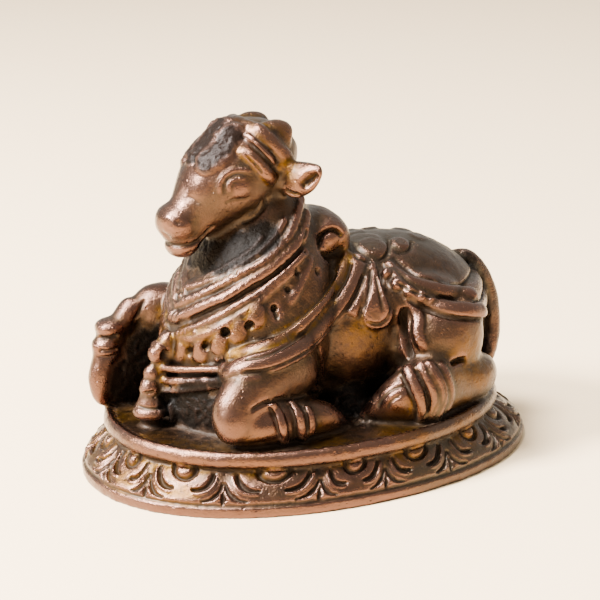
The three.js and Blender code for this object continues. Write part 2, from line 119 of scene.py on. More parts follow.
def smooth_line(stops, shares):
    """Points at the given shares of a smooth line through the stops."""
    stops = np.asarray(stops, float)
    ends = np.vstack([2 * stops[0] - stops[1], stops, 2 * stops[-1] - stops[-2]])
    reach = np.clip(shares, 0, 1) * (len(stops) - 1)
    first = np.minimum(reach.astype(int), len(stops) - 2)
    w = (reach - first)[:, None]
    a, b, c, d = (ends[first + i] for i in range(4))
    return b + 0.5 * w * (c - a + w * (2 * a - 5 * b + 4 * c - d + w * (3 * (b - c) + d - a)))


def get_points(form):
    flat = np.empty(3 * len(form.data.vertices))
    form.data.vertices.foreach_get("co", flat)
    return flat.reshape(-1, 3) / MM


def set_points(form, points):
    form.data.vertices.foreach_set("co", (points * MM).ravel())
    form.data.update()


def unit(vectors):
    return vectors / np.maximum(np.linalg.norm(vectors, axis=-1, keepdims=True), 1e-9)


def limb(stops, up=(0, 0, 1), blunt=3, sides=40, rings=32, mirrored=False):
    """A ball drawn out along a line. A stop is (x, y, z, half-width, half-height), the height towards up."""
    bpy.ops.mesh.primitive_uv_sphere_add(segments=sides, ring_count=rings, radius=MM)
    form = bpy.context.object
    round_points = get_points(form)
    share = (1 + round_points[:, 2]) / 2
    turn = np.arctan2(round_points[:, 1], round_points[:, 0])
    fullness = np.clip(1 - np.abs(round_points[:, 2]) ** blunt, 0, 1)[:, None] ** (1 / blunt)
    centres = [place(*stop[:3]) for stop in stops]
    middle = smooth_line(centres, share)
    step = 0.001
    along = unit(smooth_line(centres, share + step) - smooth_line(centres, share - step))
    side = unit(np.cross(along, up))
    top = np.cross(side, along)
    section = smooth_line([(stop[3], stop[-1]) for stop in stops], share) * fullness
    points = (middle + side * (np.cos(turn) * section[:, 0])[:, None]
              + top * (np.sin(turn) * section[:, 1])[:, None])
    set_points(form, points)
    if not mirrored:
        return [form]
    image = form.copy()
    image.data = form.data.copy()
    bpy.context.collection.objects.link(image)
    set_points(image, points * (1, -1, 1))
    image.data.flip_normals()
    return [form, image]


def ball(centre, sizes, tilt=0, mirrored=False):
    """An egg with three half-sizes, tilted about Y in degrees."""
    turn = math.radians(tilt)
    along = np.array([math.sin(turn), 0, math.cos(turn)]) * sizes[2]
    ends = [np.add(centre, along * share) for share in (-1, 0, 1)]
    flat_up = (-math.cos(turn), 0, math.sin(turn))
    return limb([(*end, sizes[1], sizes[0]) for end in ends], up=flat_up, blunt=2, mirrored=mirrored)


def fused(forms, voxel, smoothing):
    """One skin round all the forms, with its inner corners softened."""
    bpy.ops.object.select_all(action="DESELECT")
    for form in forms:
        form.select_set(True)
    whole = forms[0]
    bpy.context.view_layer.objects.active = whole
    bpy.ops.object.join()
    skin = whole.modifiers.new("skin", "REMESH")
    skin.mode = "VOXEL"
    skin.voxel_size = voxel * MM
    bpy.ops.object.modifier_apply(modifier="skin")
    if smoothing:
        soften = whole.modifiers.new("soften", "SMOOTH")
        soften.factor = 0.5
        soften.iterations = smoothing
        bpy.ops.object.modifier_apply(modifier="soften")
    return whole


# The head's own axis slopes from the poll, between the horns, down to the muzzle.
poll = (-8, 0, 41.7)
face_slope = math.radians(34.1)


def on_head(along, above, y=0):
    """A place counted along the head's axis, square above it, and out to the side."""
    return (poll[0] - along * math.cos(face_slope) - above * math.sin(face_slope), y,
            poll[2] - along * math.sin(face_slope) + above * math.cos(face_slope))


head_sections = [  # along the head's axis, top, bottom, half-width
    (-4.4, 3.0, -5.4, 5.0), (-0.6, 5.4, -6.8, 6.5), (3.4, 6.8, -6.6, 7.2), (7.6, 7.3, -6.3, 7.2),
    (11, 6.2, -5.9, 6.3), (14, 4.5, -5.3, 4.9), (16.6, 3.3, -4.9, 4.1), (20, 2.6, -4.2, 3.6),
]
nose_tilt = -math.degrees(face_slope)
flesh = []
flesh += limb([(*on_head(along, (top + bottom) / 2), wide, (top - bottom) / 2)
               for along, top, bottom, wide in head_sections], blunt=4)
flesh += ball(on_head(18.3, 0.4), (2.9, 4.1, 3.2), nose_tilt)
flesh += ball(on_head(19.0, -2.8), (2.9, 3.5, 2.4), nose_tilt)
flesh += limb([(-11, 0, 46, 2.6, 1.9), (-14.6, 0, 44.6, 3.6, 2.0), (-17.6, 0, 41, 3.0, 1.4)])
flesh += limb([(-7.6, -4.6, 37.6, 1.9, 2.6), (-6.2, -8.4, 38.2, 1.8, 2.9), (-4.7, -12.4, 40.4, 0.9, 1.5)],
              up=(0.2, 0, 1), mirrored=True)

# The neck and chest are one thick column that leans forward, with the zebu's hump curled over behind it.
flesh += limb([
    (-10, 0, -3, 11.4, 12), (-10.8, 0, 9, 13.2, 14), (-10.2, 0, 15, 13.5, 13.4), (-9, 0, 20.5, 12.2, 12),
    (-8.6, 0, 26, 10.3, 10.2), (-8.4, 0, 31, 7.9, 7.8), (-8.4, 0, 36.4, 6.2, 6.6),
], up=(1, 0, 0), blunt=5, sides=64, rings=48)
flesh += limb([(-6, 0, 28.2, 4.4, 2.4), (-2.6, 0, 29.8, 4.6, 2.2), (1, 0, 30, 4.2, 1.8)])
flesh += limb([
    (1.2, -6.4, 26, 3.4, 3.4), (1, -3.4, 26.5, 4.4, 4.4), (0.9, 0, 26.6, 4.8, 4.9),
    (1, 3.4, 26.5, 4.4, 4.4), (1.2, 6.4, 26, 3.4, 3.4),
], blunt=7)

# The barrel and rump, under a saddle cloth that covers the back.
flesh += limb([
    (-8, 0, 12, 11, 12), (0, 0, 12.2, 13.4, 13.4), (8, 0, 12.2, 13.4, 13.4), (16, 0, 12, 13.8, 13.3),
    (22, 0, 10.8, 12.9, 11.9), (26.6, 0, 9.2, 9.6, 9.8), (32.2, 0, 7, 5, 6.6),
], blunt=3.4, sides=64, rings=48)

# Under the cloth's edge a low roll on each side fills the step between the barrel and the thigh.
flesh += limb([
    (-2, -6.5, 15.5, 4, 4.5), (5, -8.4, 16, 4.6, 5.2), (11, -9.6, 16, 5, 5.6), (17, -10, 15.2, 5, 5.8),
    (23, -8.2, 14, 4.6, 5.4),
], mirrored=True)

# The hind legs are folded, each thigh against the flank and its foot forward along the plate.
flesh += limb([
    (12, -11.3, 16.5, 4.5, 5.2), (14.2, -12.8, 12.5, 6.2, 7.7), (18.2, -12.7, 9.5, 6.1, 9.1),
    (23.4, -10.6, 7.5, 4.8, 6),
], up=(0.45, 0, 1), blunt=2.6, mirrored=True)
flesh += limb([
    (27, -11, 3.8, 3.4, 3.6), (22, -14, 3.8, 4.6, 4), (16, -16.6, 4.4, 3.8, 4.4), (11.5, -18.3, 4.8, 3.5, 5.3),
    (6.6, -17.6, 3.6, 3.2, 4.1), (2.6, -15.6, 1.6, 1.7, 1.9), (0.6, -14.4, 0.6, 0.6, 0.8),
], blunt=4, rings=48, mirrored=True)

# The left foreleg is folded flat, knee forward and hoof back. The right one is raised, with its hoof on the
# rim of the plate and a wall of metal left behind the shin.
flesh += limb([
    (-6.6, -11.5, 9.6, 4, 5), (-13, -12.4, 9.8, 4.6, 5.8), (-18.6, -14.4, 7.8, 4, 4.6),
    (-23.8, -15.8, 4.6, 3.2, 3.4),
], blunt=5)
flesh += ball((-21.9, -15.6, 4.6), (3.4, 3.5, 3.9))
flesh += limb([
    (-23, -15.8, 3.3, 3.2, 3.2), (-15, -16.4, 3.2, 3.1, 3), (-8, -16.2, 2.8, 2.9, 2.8),
    (-4.6, -15.6, 1.6, 2.2, 1.7), (-1.6, -14.8, 0.3, 0.6, 0.6),
], blunt=5)
flesh += limb([
    (-9, 10.4, 10.6, 6, 6), (-15, 11.6, 12.2, 5, 5.2), (-20, 12, 14.4, 4.4, 4.5), (-25, 12.2, 15.5, 3.7, 4),
])
flesh += limb([
    (-24.6, 12.2, 16.6, 2.8, 2.6), (-27.6, 12, 12.6, 2, 2), (-30, 11.8, 8.4, 2, 2.2), (-31.6, 11.3, 4.4, 2, 2),
    (-31.3, 10.8, 0.2, 1.5, 1.5),
], up=(1, 0, 0), blunt=4)
flesh += limb([(-31, 11.2, 3.2, 1.3, 4.6), (-23, 11.4, 5.6, 1.8, 7.4), (-14, 11, 6, 2.4, 8)], blunt=5)
flesh += ball((-29.5, 11.9, 12.8), (2.5, 2.8, 1.6))
flesh += ball((-30.2, 11.8, 10), (2.4, 2.6, 1.5))
flesh += ball((2.2, -9, 0.5), (3.4, 3, 4))

flesh_skin = fused(flesh, 0.5, 8)

# The plinth: an oval foot with a plain lip, a sloping band for the petals, and a half-round rim.
lip_height = 2.1
rim_height = 2.3
rim_rise = 0.5
rim_overhang = 1.2
end_lean = 5.9
flank_lean = 3.1
rim_shift = -0.8
oval_power = 2.13
band_top = plate_height - rim_height
rim_profile = [(math.cos(math.radians(a)), math.sin(math.radians(a))) for a in range(-80, 91, 10)]
lip_groove = 0.15
plinth_rings = [(0, 0, 0), (0.25, 0, 0), (lip_height - 0.5, 0, 0), (lip_height, 0, -0.45)]
plinth_rings += [(lip_height + lip_groove + (band_top - lip_height - lip_groove) * s, s, -0.2)
                 for s in np.linspace(0, 1, 9)]
plinth_rings += [(band_top + (1 + up) * (rim_height + rim_rise) / 2, 1, rim_overhang * out)
                 for out, up in rim_profile]
plinth_rings += [(plate_height, 1, -0.9)]

around = 360
bpy.ops.mesh.primitive_circle_add(vertices=around, radius=MM, fill_type="NGON")
plinth = bpy.context.object
bpy.ops.object.mode_set(mode="EDIT")
for _ in plinth_rings[1:]:
    bpy.ops.mesh.extrude_region_move(TRANSFORM_OT_translate={"value": (0, 0, MM)})
bpy.ops.object.mode_set(mode="OBJECT")
stacked = get_points(plinth)
turns = np.arctan2(stacked[:, 1], stacked[:, 0])
height_of, lean_of, out_of = np.array(plinth_rings)[np.round(stacked[:, 2]).astype(int)].T


def oval(cosine):
    return np.sign(cosine) * np.abs(cosine) ** (2 / oval_power)


set_points(plinth, np.stack([
    rim_shift * lean_of + (plinth_length / 2 - lean_of * end_lean + out_of) * oval(np.cos(turns)),
    (plinth_width / 2 - lean_of * flank_lean + out_of) * oval(np.sin(turns)),
    height_of], -1))
bpy.ops.object.select_all(action="DESELECT")
plinth.select_set(True)
bpy.context.view_layer.objects.active = plinth
bpy.ops.object.mode_set(mode="EDIT")
bpy.ops.mesh.select_all(action="SELECT")
bpy.ops.mesh.normals_make_consistent(inside=False)
bpy.ops.object.mode_set(mode="OBJECT")

# The short horns, the string of beads down the breast with the bell at its foot, the three cords that run back
# from it over the dark wall under the breast, and the tail: added once the flesh has its soft corners.
trim = limb([
    (-12, -3.1, 43.2, 1.4, 1.2), (-10.2, -3.4, 43.6, 2, 2.7), (-8.4, -3.6, 43.3, 2.3, 3.6),
    (-6.1, -3.7, 42.4, 2, 3.5),
], blunt=6, mirrored=True)
for x, z, wide, tall in [(-26.9, 11.4, 1.5, 1.6), (-27.8, 8.3, 1.4, 1.6)]:
    trim += ball((x, 0, z), (wide, wide, tall))
trim += limb([(-24.2, 0, 14, 1.4, 1.6), (-26, 0, 8, 1.3, 1.8), (-27, 0, 2, 1.2, 1.6)], up=(1, 0, 0), blunt=5)
bell_profile = [  # radius, height
    (0, -0.3), (1.9, -0.3), (1.6, 0.5), (1.8, 1.3), (2.75, 1.7), (2.95, 2.2), (2.8, 2.7), (2.35, 3.4),
    (1.9, 4.3), (1.6, 5), (1.45, 5.4), (1.75, 5.8), (1.8, 6.3), (1.45, 6.7), (1.6, 7.2), (0, 8),
]
bpy.ops.mesh.primitive_circle_add(vertices=48, radius=MM)
bell = bpy.context.object
bpy.ops.object.mode_set(mode="EDIT")
for _ in bell_profile[1:]:
    bpy.ops.mesh.extrude_region_move(TRANSFORM_OT_translate={"value": (0, 0, MM)})
bpy.ops.object.mode_set(mode="OBJECT")
stacked = get_points(bell)
radius_of, height_of = np.array(bell_profile)[np.round(stacked[:, 2]).astype(int)].T
set_points(bell, place(-28.2, 0, 0) + np.stack(
    [stacked[:, 0] * radius_of, stacked[:, 1] * radius_of, height_of], -1))
trim += [bell]
for z, rise, wide in [(9.2, 2.0, 0.6), (7.2, 2.2, 0.65), (5.4, 3.2, 0.5)]:
    trim += limb([(-27, 0, z, wide), (-25, -5, z + 0.4 * rise, wide), (-20.6, -11.4, z + rise, wide)], blunt=5)
trim += limb([(-25, -0.6, 3, 1.4, 5), (-22.2, -6.2, 3, 1.6, 5.4), (-18.6, -11, 3, 1.8, 5.4)], blunt=5)
trim += limb([
    (27.5, 0, 20, 1.3), (31.2, -0.8, 18.4, 1.4), (34.1, -1.6, 12.8, 1.5), (34.5, -2.2, 6.6, 1.6),
    (32.6, -3.4, 1.2, 1.9),
], up=(0, 1, 0), blunt=4)
trim += limb([
    (28, -0.4, 16.8, 0.8, 2.2), (31.6, -1, 11.2, 0.8, 2.4),
    (32, -1.8, 5.4, 0.8, 2.6), (31, -2.6, 1.6, 0.9, 2.4),
], up=(1, 0, 0), blunt=5)

casting = fused([flesh_skin, plinth, *trim], 0.3, 2)
casting.name = "nandi_bull"

# The carving: raised bands, beads and cut lines worked into the wax. Their lines are traced on the photograph
# and laid on the skin that it shows there, and a paired one is repeated on the bull's right side.
photo_size = 600
photo_focus = photo_size / 2 / math.tan(field_of_view / 2)
photo_scale = 5.8
eye_axes = np.array(camera.rotation_euler.to_matrix())
camera_point = np.array(camera_place)


def get_normals(form):
    normals = np.empty(3 * len(form.data.vertices))
    form.data.vertices.foreach_get("normal", normals)
    return normals.reshape(-1, 3)


def take_skin():
    """Reads the casting's skin before it is carved."""
    global bare, facing, lift, bare_tree
    bare = get_points(casting)
    facing = get_normals(casting)
    lift = np.zeros(len(bare))
    bare_tree = BVHTree.FromObject(casting, bpy.context.evaluated_depsgraph_get())


def seen_at(pixels):
    """The places on the skin that the photograph shows at these pixels."""
    found = []
    for px, py in pixels:
        ray = eye_axes @ np.array([px - photo_size / 2, photo_size / 2 - py, -photo_focus])
        ray = ray / np.linalg.norm(ray)
        hit = bare_tree.ray_cast(Vector(camera_point * MM), Vector(ray))[0]
        if hit is None:
            reach = np.linalg.norm(found[-1] - camera_point) if found else 300
            hit = bare_tree.find_nearest(Vector((camera_point + ray * reach) * MM))[0]
        found.append(np.array(hit) / MM)
    return np.array(found)


def traced(pixels, gap=0.3):
    """A smooth line on the skin through these pixels of the photograph, as closely spaced points."""
    pixels = np.array(pixels, float)
    count = max(3, int(np.linalg.norm(np.diff(pixels, axis=0), axis=1).sum() / (photo_scale * gap)))
    line = seen_at(smooth_line(pixels, np.linspace(0, 1, count)))
    for _ in range(4):
        line[1:-1] = (line[:-2] + 2 * line[1:-1] + line[2:]) / 4
    return line


def carried(pixels, places, count=30):
    """A line traced on the photograph and carried on through places round the side that it does not show."""
    hidden = [bare_tree.find_nearest(Vector(point * MM))[0]
              for point in smooth_line(places, np.linspace(0, 1, count))]
    return np.vstack([traced(pixels), np.array(hidden) / MM])


def from_line(points, line):
    """How far each point is from a line, and the share of the line's length where it is nearest."""
    starts, steps = line[:-1], np.diff(line, axis=0)
    spans = np.maximum((steps ** 2).sum(1), 1e-12)
    offset = points[:, None] - starts[None]
    share = np.clip((offset * steps).sum(-1) / spans, 0, 1)
    apart = np.linalg.norm(offset - share[..., None] * steps, axis=-1)
    closest = apart.argmin(1)
    rows = np.arange(len(points))
    lengths = np.concatenate([[0], np.cumsum(np.sqrt(spans))])
    distance = lengths[closest] + share[rows, closest] * np.sqrt(spans)[closest]
    return apart[rows, closest], distance / lengths[-1], lengths[-1], closest


def near(points, reach):
    inside = np.all((bare > points.min(0) - reach) & (bare < points.max(0) + reach), axis=1)
    return np.flatnonzero(inside)


def profile(x, edge):
    """The height across a band, from 1 in its middle to 0 at its edges (x is 0 to 1)."""
    if edge == "round":
        return np.sqrt(1 - x ** 2)
    if edge == "flat":
        rise = np.clip((1 - x) / 0.35, 0, 1)
        return rise ** 2 * (3 - 2 * rise)
    return (1 - x ** 2) ** 2


def add_lift(chosen, height):
    lift[chosen] = np.where(height > 0, np.maximum(lift[chosen], height), lift[chosen] + height)


def work(line, half_width, height, edge="round", taper=0.0, twist=0.0, paired=True):
    """Raises or, with a height under zero, cuts the skin along a line of points."""
    for side in ([1, -1] if paired else [1]):
        points = line * (1, side, 1)
        chosen = near(points, np.max(half_width))
        if not len(chosen):
            continue
        apart, share, length, closest = from_line(bare[chosen], points)
        wide = half_width
        if np.ndim(half_width):
            wide = np.interp(share, np.linspace(0, 1, len(half_width)), half_width)
        form = profile(np.clip(apart / wide, 0, 1), edge)
        if taper:
            form = form * np.clip(np.minimum(share, 1 - share) * length / taper, 0, 1) ** 0.5
        if twist:
            steps = np.diff(points, axis=0)[closest]
            aside = ((bare[chosen] - points[closest]) * np.cross(unit(steps), facing[chosen])).sum(-1)
            form = form * (0.93 + 0.07 * np.sin(2 * math.pi * (share * length + 0.8 * aside) / twist))
        add_lift(chosen, height * form)


def dots(centres, radius, height, edge="round", paired=True):
    """A row of bumps, or of pits where the height is under zero."""
    for side in ([1, -1] if paired else [1]):
        for centre in centres * (1, side, 1):
            chosen = near(centre[None], radius)
            x = np.clip(np.linalg.norm(bare[chosen] - centre, axis=1) / radius, 0, 1)
            add_lift(chosen, height * profile(x, edge))


take_skin()

# The cords and the collar cloth's double edge round the neck, and the harness of two broad bands behind them.
neck_cords = [
    ([(262, 238), (247, 254), (222, 269), (200, 280), (186, 284)], 0.5, 0.4),
    ([(284, 221), (274.8, 237.3), (257.9, 254.2), (238.5, 266.4), (217.9, 278.5), (190, 287),
      (180, 290)], 0.6, 0.6),
    ([(300, 200), (297, 213), (290.6, 232.4), (282.1, 244.5), (265.2, 261.5), (244.5, 272.4), (226.4, 282.1),
      (208.2, 291.8), (190, 300.3), (176, 306)], 0.85, 0.9),
    ([(305, 214), (302.7, 232.4), (295.5, 243.8), (276.7, 262.7), (259.7, 275.8), (240, 288), (224.4, 298),
      (207, 304.5), (190, 312.4), (174, 319)], 0.95, 0.95),
    ([(305, 252), (293, 265), (279.7, 277.3), (267.6, 287), (255.5, 295.5), (238.5, 305.2), (223.9, 313.6),
      (202, 324.5), (184, 331)], 0.65, 0.6),
    ([(292, 272), (282, 281), (270, 290.6), (257.9, 302.7), (242, 313.6), (230, 319.7), (204.5, 330.6),
      (188, 337)], 0.6, 0.5),
]
for pixels, half_width, height in neck_cords:
    line = traced(pixels)
    line = line[line[:, 1] < 0]
    onward = line[-1] + (line[-1] - line[-9]) * line[-1, 1] / (line[-9, 1] - line[-1, 1])
    middle = np.array(bare_tree.find_nearest(Vector(onward * (1, 0, 1) * MM))[0]) / MM
    work(np.vstack([line, middle]), half_width, height, "round", twist=1.3)
work(traced([(311.2, 254.2), (310, 265.2), (302.7, 280.9), (296.7, 293), (288, 305)]), 1.0, 0.35, "soft", 1)
harness_gold = traced([(347, 258), (344, 268), (336.7, 284.5), (325, 300.8), (309.4, 318), (294, 331),
                       (279.8, 340.3), (262.7, 347.5), (245, 352), (234, 358)])
harness_band = traced([(357, 262), (355, 272), (348.8, 289.4), (335.5, 308.8), (319.6, 327.6), (306.3, 341.5),
                       (291.9, 351.2), (274.2, 359.6), (253.6, 364.5), (238, 368), (228, 374)])
work(harness_gold, 1.3, 0.9, "round")
work(harness_band, 1.7, 1.25, "round")
breast_scallops = seen_at([(163, 343), (178.6, 353), (197, 357), (218.8, 343), (236, 332), (254, 318)])
work(traced([(166, 338), (179, 337), (193, 338), (207, 333.5), (221, 327), (238, 317)]), 0.8, 0.6, "round", 1)
for top_pixel, low_pixel in [((167, 338), (163.5, 346)), ((181, 346), (178.7, 355)), ((200.5, 346), (200, 355)),
                             ((220.5, 338), (219.2, 347)), ((239.5, 325), (238, 335)),
                             ((257, 311), (255.5, 319))]:
    work(traced([top_pixel, low_pixel]), (1.3, 1.5), 0.65, "round")
rosette, breast_knot = seen_at([(182, 296.4), (173.2, 314.3)])
dots(rosette[None], 1.6, 0.7, "flat", paired=False)
dots(breast_knot[None], 1.9, 0.4, "flat", paired=False)
work(traced([(236, 375), (248, 378), (262, 375)]), 0.9, 0.35, "soft", 1)

# The locks of hair drawn back from the brow over the ears, and the knot of hair on the middle of the brow.
upper_lock = traced([(242, 122), (252, 128), (266, 138.5), (278.3, 149.5), (286.5, 160), (284, 172)])
lower_lock = traced([(239, 148), (249, 154.8), (259, 164.8), (266.5, 174), (275, 181)])
work(upper_lock, 1.35, 1.2, "round", 3)
work(traced([(244, 131), (254, 142), (265, 154.5), (274, 165)]), 0.8, 0.9, "round", 2)
work(lower_lock, 1.1, 1.0, "round", 2)
brow_knot = traced([(207, 161), (216, 154), (226, 143), (236, 130)])
knot_middle = np.array([bare_tree.find_nearest(Vector(point * MM))[0] for point in brow_knot * (1, 0, 1)]) / MM
work(brow_knot, (2.5, 2.9, 2.2, 1.6), 0.4, "flat")
work(knot_middle, (2.2, 2.6, 2, 1.4), 0.2, "flat", paired=False)
work(traced([(200, 167), (194.5, 160), (196, 151), (203, 144)]), 0.8, 0.4, "round", 1.5)
work(traced([(212, 141), (222, 133), (230, 127), (238, 125)]), 1.1, 0.5, "soft", 2)
work(traced([(200, 143), (208, 132), (219, 127)]), 1.2, 0.5, "soft", 2)

# The saddle cloth's border of two rolls with beads between them, and the leaves and tongues at its corner.
upper_roll = carried([(386, 262), (395, 272), (412, 282.5), (429.4, 288), (451.2, 292), (470, 293)],
                     [(23.6, -13.4, 26.2), (26.8, -10, 25.6), (29.2, -5, 25.2), (30, 0, 25)])
lower_roll = carried([(388, 270), (402, 286), (420, 298), (442, 306), (462, 309.5), (476, 310)],
                     [(23, -16.4, 24), (27, -11.4, 22.8), (29.8, -5.6, 21.8), (30.6, 0, 21.5)])
work(upper_roll, (0.7, 1.3, 1.5, 1.5, 1.5), 0.9, "round", 0.6)
work(lower_roll, (0.6, 1.3, 1.5, 1.5, 1.5), 1.0, "round", 0.6)
border_beads = seen_at([(386, 276), (396, 285.5), (407.6, 292.3), (419.7, 297), (430, 301.5)])
dots(border_beads, 1.0, 1.5, "round")
dots(seen_at([(366, 241)]), 3.4, 0.35, "flat")
dots(seen_at([(372, 247)]), 3.0, 0.55, "flat")
dots(seen_at([(400, 243)]), 1.9, 0.4, "flat")
dots(seen_at([(418, 236)]), 2.0, 0.25, "flat")
work(traced([(371, 264), (373, 282), (375, 300), (376.5, 314)]), (0.5, 1.1, 2.0, 2.9), 1.05, "flat")
work(traced([(368.5, 268), (365, 285), (358, 300), (350, 316)]), (0.4, 0.8, 1.0, 1.0), 0.9, "round", 0.5)
work(traced([(405, 298), (414, 308), (418.5, 320), (418, 334), (425, 352)]), (0.5, 1.0, 1.1, 1.0, 0.7), 0.9,
     "round", 2)

# The feet: the bands round the fetlocks and the raised edges of the hooves.
for pixels in [((271, 405), (279, 417), (284, 440)), ((290, 402), (298, 417), (303, 438)),
               ((307, 411), (310, 420), (311, 430))]:
    work(traced(pixels), 0.85, 0.8, "round", paired=False)
work(traced([(408, 370), (416, 388), (421, 407), (420, 421)]), 0.95, 0.9, "round")
work(traced([(421, 367), (431, 386), (434, 402), (428, 418)]), 0.9, 0.9, "round")
work(traced([(429, 366), (439.5, 384), (442, 400), (434, 417)]), 0.95, 1.0, "round")
work(traced([(438, 362), (447.5, 380), (450, 398), (442, 413)]), 0.9, 0.7, "round", 1)
work(traced([(355, 417), (360, 409.5), (365, 400.6), (373, 388.5), (385, 378), (401, 369)]),
     0.7, 0.6, "round", 1)
dots(seen_at([(395, 399)]), 3.1, 0.7, "soft")
work(traced([(397, 316), (395.5, 332), (399, 348)]), 1.4, -0.35, "soft", 2)
set_points(casting, bare + facing * lift[:, None])

# The finer carving, on a closer skin: cut lines, holes and thin edges.
casting = fused([casting], 0.2, 1)
take_skin()
work(traced([(220, 194), (219.5, 184.8), (222.6, 177.6), (229.8, 171.5), (237, 169.8), (248, 170), (255, 173)]),
     0.7, 0.22, "soft", 1.2)
work(traced([(223.5, 194), (224, 186), (228, 179), (236, 174.5), (246, 174.5)]), 0.45, -0.18, "soft", 1.2)
work(traced([(229.8, 193), (228.6, 186.5), (232.3, 181), (239, 178.5), (248, 180)]), 0.5, 0.18, "soft", 1)
dots(seen_at([(241, 189)]), 2.0, 0.35, "soft")
work(traced([(224, 203.5), (229.5, 201), (234, 199), (243, 199.5), (251, 197)]), 0.4, -0.2, "soft", 1.2)
work(traced([(162.5, 240), (169.2, 244.2), (178.9, 245.8), (191, 244.4), (199.5, 239.8), (206.8, 232.6),
             (211.7, 227), (215.5, 225)]), 0.5, -0.4, "soft", 0.8)
work(traced([(208, 233.3), (206, 243), (199, 250)]), 0.4, -0.15, "soft", 0.8)
work(traced([(266.6, 194), (265.4, 204.2), (259.2, 213), (250.5, 220), (241, 223)]), 0.45, -0.35, "soft", 1)
work(traced([(262, 196), (260.5, 204), (255.5, 211), (248, 216)]), 0.35, -0.2, "soft", 1)
work(traced([(186, 195.5), (193.5, 199), (201, 204.5)]), 0.5, -0.2, "soft", 0.8, paired=False)
work(traced([(161.5, 232.5), (166, 235.5), (171, 239)]), 0.6, -0.3, "soft", 0.8, paired=False)
dots(seen_at([(178.5, 222.5)]), 0.7, -0.25, "soft")
work(traced([(249.2, 142.4), (261.4, 153.8), (271, 163.5), (276, 172)]), 0.4, -0.4, "soft", 0.8)
work(traced([(249, 131.5), (261, 142), (272, 152.5)]), 0.35, -0.3, "soft", 0.8)
work(traced([(246, 155), (255, 164), (263, 174)]), 0.35, -0.35, "soft", 0.6)
work(traced([(194, 166), (192.5, 160), (193.5, 154)]), 0.6, -0.5, "soft", 0.5)
work(traced([(301, 186), (309, 181), (317.5, 173.5)]), (1.0, 1.5, 0.8), -1.3, "soft", 0.8)
work(traced([(285, 190), (292, 194.5), (300, 195)]), 0.6, -0.7, "soft", 0.8)


def crumpled(line, half_width, height, grain):
    """Small folds with sharp crests, as wax has where it was pinched and left."""
    chosen = near(line, half_width)
    folds = np.array([1 - 2 * abs(noise.noise(Vector(point / grain)))
                      - 2 * abs(noise.noise(Vector(point * 2.3 / grain))) for point in bare[chosen]])
    inside = profile(np.clip(from_line(bare[chosen], line)[0] / half_width, 0, 1), "flat")
    lift[chosen] += height * folds * inside


for line in (brow_knot, knot_middle, brow_knot * (1, -1, 1)):
    crumpled(line, 2.4, 0.12, 1.3)
crumpled(seen_at([(168, 224), (174, 230), (180, 226)]), 1.8, 0.08, 0.9)
crumpled(traced([(182, 400), (192, 408), (203, 413)]), 3.2, 0.24, 1.7)
crumpled(traced([(346, 404), (356, 418), (366, 424)]), 2.2, 0.2, 1.5)
crumpled(traced([(140, 350), (134, 368), (130, 388)]), 3, 0.2, 2)

# Between the cords of the neck, round the hump's scroll, and along both edges of the harness, cuts are deep.
work(traced([(343, 247), (338.5, 254), (331, 257.5), (324, 254.5), (320.3, 247), (320.6, 239), (325, 232.5),
             (332, 229.5), (338.5, 231.5), (341.5, 237)]), 0.85, -1.2, "soft", 0.8)
dots(seen_at([(331.5, 243)]), 1.7, 0.35, "soft")
work(traced([(308, 228), (303, 245), (288, 262), (270, 277), (247, 291), (232, 300.5), (212, 309.5),
             (190, 320)]), 0.5, -0.5, "soft", 1)
work(traced([(335.5, 271.2), (328.2, 288.2), (317.3, 302.7), (301.5, 317.3), (287, 328.2), (272.4, 335.5),
             (257.9, 340.3)]), 0.45, -0.4, "soft", 1)
work(traced([(351.2, 261.5), (345.2, 280.9), (333, 299), (317.3, 318.5), (301.5, 334.2), (287, 345.2),
             (267.6, 354.8), (244.5, 359)]), 0.45, -0.45, "soft", 1)
work(traced([(364, 274), (354, 297.9), (339.5, 318.5), (323.5, 337), (312.5, 349.2), (297.5, 358.5),
             (281.5, 366), (262.7, 371.6), (242, 372.5)]), 0.5, -0.6, "soft", 1)
dots(seen_at([(165, 354.5), (190, 351.5), (205.4, 346), (225, 332.5), (250, 325.5)]), 0.95, -1.3, "soft")
dots(seen_at([(169, 333.5), (173, 333), (177, 332.7), (181, 332.5), (185, 332.2), (194.5, 332)]),
     0.42, 0.3, "soft")
dots(seen_at([(217.5, 359), (223.5, 357)]), 0.7, 0.5, "soft")
for pixels in [((176, 308.5), (171, 313), (169.5, 320)), ((179.5, 309.5), (175, 315), (173, 322)),
               ((182, 312.5), (178, 318), (176, 324))]:
    work(traced(pixels), 0.42, 0.35, "soft", 0.4, paired=False)
dots(seen_at([(297.3, 272.4), (288.8, 289.4), (274.4, 308), (317.9, 271.8), (307, 250.6)]), 0.75, -0.8, "soft")
work(traced([(274.5, 309), (277.3, 317.5)]), 0.5, -0.6, "soft")
chosen = near(rosette[None], 1.6)
from_rosette = np.linalg.norm(bare[chosen] - rosette, axis=1)
add_lift(chosen, -0.4 * profile(np.clip(np.abs(from_rosette - 1.0) / 0.4, 0, 1), "soft"))

